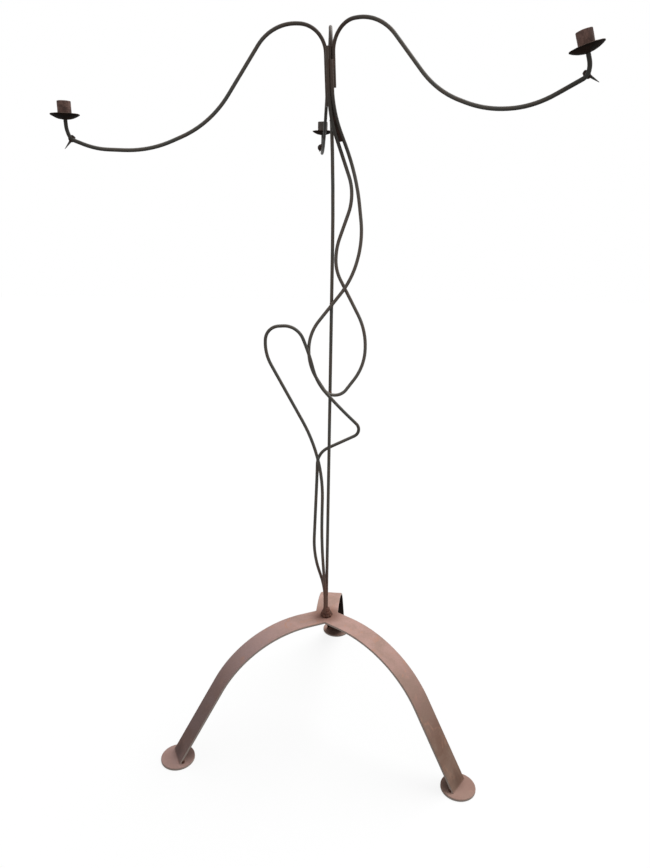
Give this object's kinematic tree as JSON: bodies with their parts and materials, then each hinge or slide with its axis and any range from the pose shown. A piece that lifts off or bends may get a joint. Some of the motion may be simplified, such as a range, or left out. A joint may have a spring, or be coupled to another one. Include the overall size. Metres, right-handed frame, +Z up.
{
  "type": "floor candelabra",
  "caption": "Free-standing candelabra of bent round bar: looped bars round a pole on a tripod of arched flat strip, and curving arms that end in a dished drip pan and a candle cup.",
  "frame": {"origin": "on the floor, under the middle of the whole outline's box", "axes": "+Z up; -Y is the front, which the picture shows; +X is to the right in the picture"},
  "size_m": [1.0374, 0.9602, 1.7674],
  "materials": {
    "bar_iron": "blackened mild-steel bar, waxed, dull sheen",
    "strip_iron": "hot-rolled strip with a thin brown rust patina, matt",
    "pan_iron": "blackened sheet, hammered dish",
    "cup_iron": "browned tube",
    "weld_metal": "brown weld metal, lumpy"
  },
  "bodies": {
    "root": {"pole": "bar_iron", "lower_loop": "bar_iron", "upper_loop": "bar_iron", "arm_left": "bar_iron", "arm_right": "bar_iron", "arm_back": "bar_iron", "thorn_left": "bar_iron", "thorn_right": "bar_iron", "thorn_back": "bar_iron", "leg_left": "strip_iron", "leg_right": "strip_iron", "leg_back": "strip_iron", "foot_left": "strip_iron", "foot_right": "strip_iron", "foot_back": "strip_iron", "drip_pan_left": "pan_iron", "drip_pan_right": "pan_iron", "drip_pan_back": "pan_iron", "candle_cup_left": "cup_iron", "candle_cup_right": "cup_iron", "candle_cup_back": "cup_iron", "hub_weld": "weld_metal", "hub_seam_welds": "weld_metal", "foot_welds": "weld_metal", "crown_welds": "weld_metal", "loop_tacks": "weld_metal", "strand_web": "weld_metal", "thorn_welds": "weld_metal"}
  },
  "joints": []
}
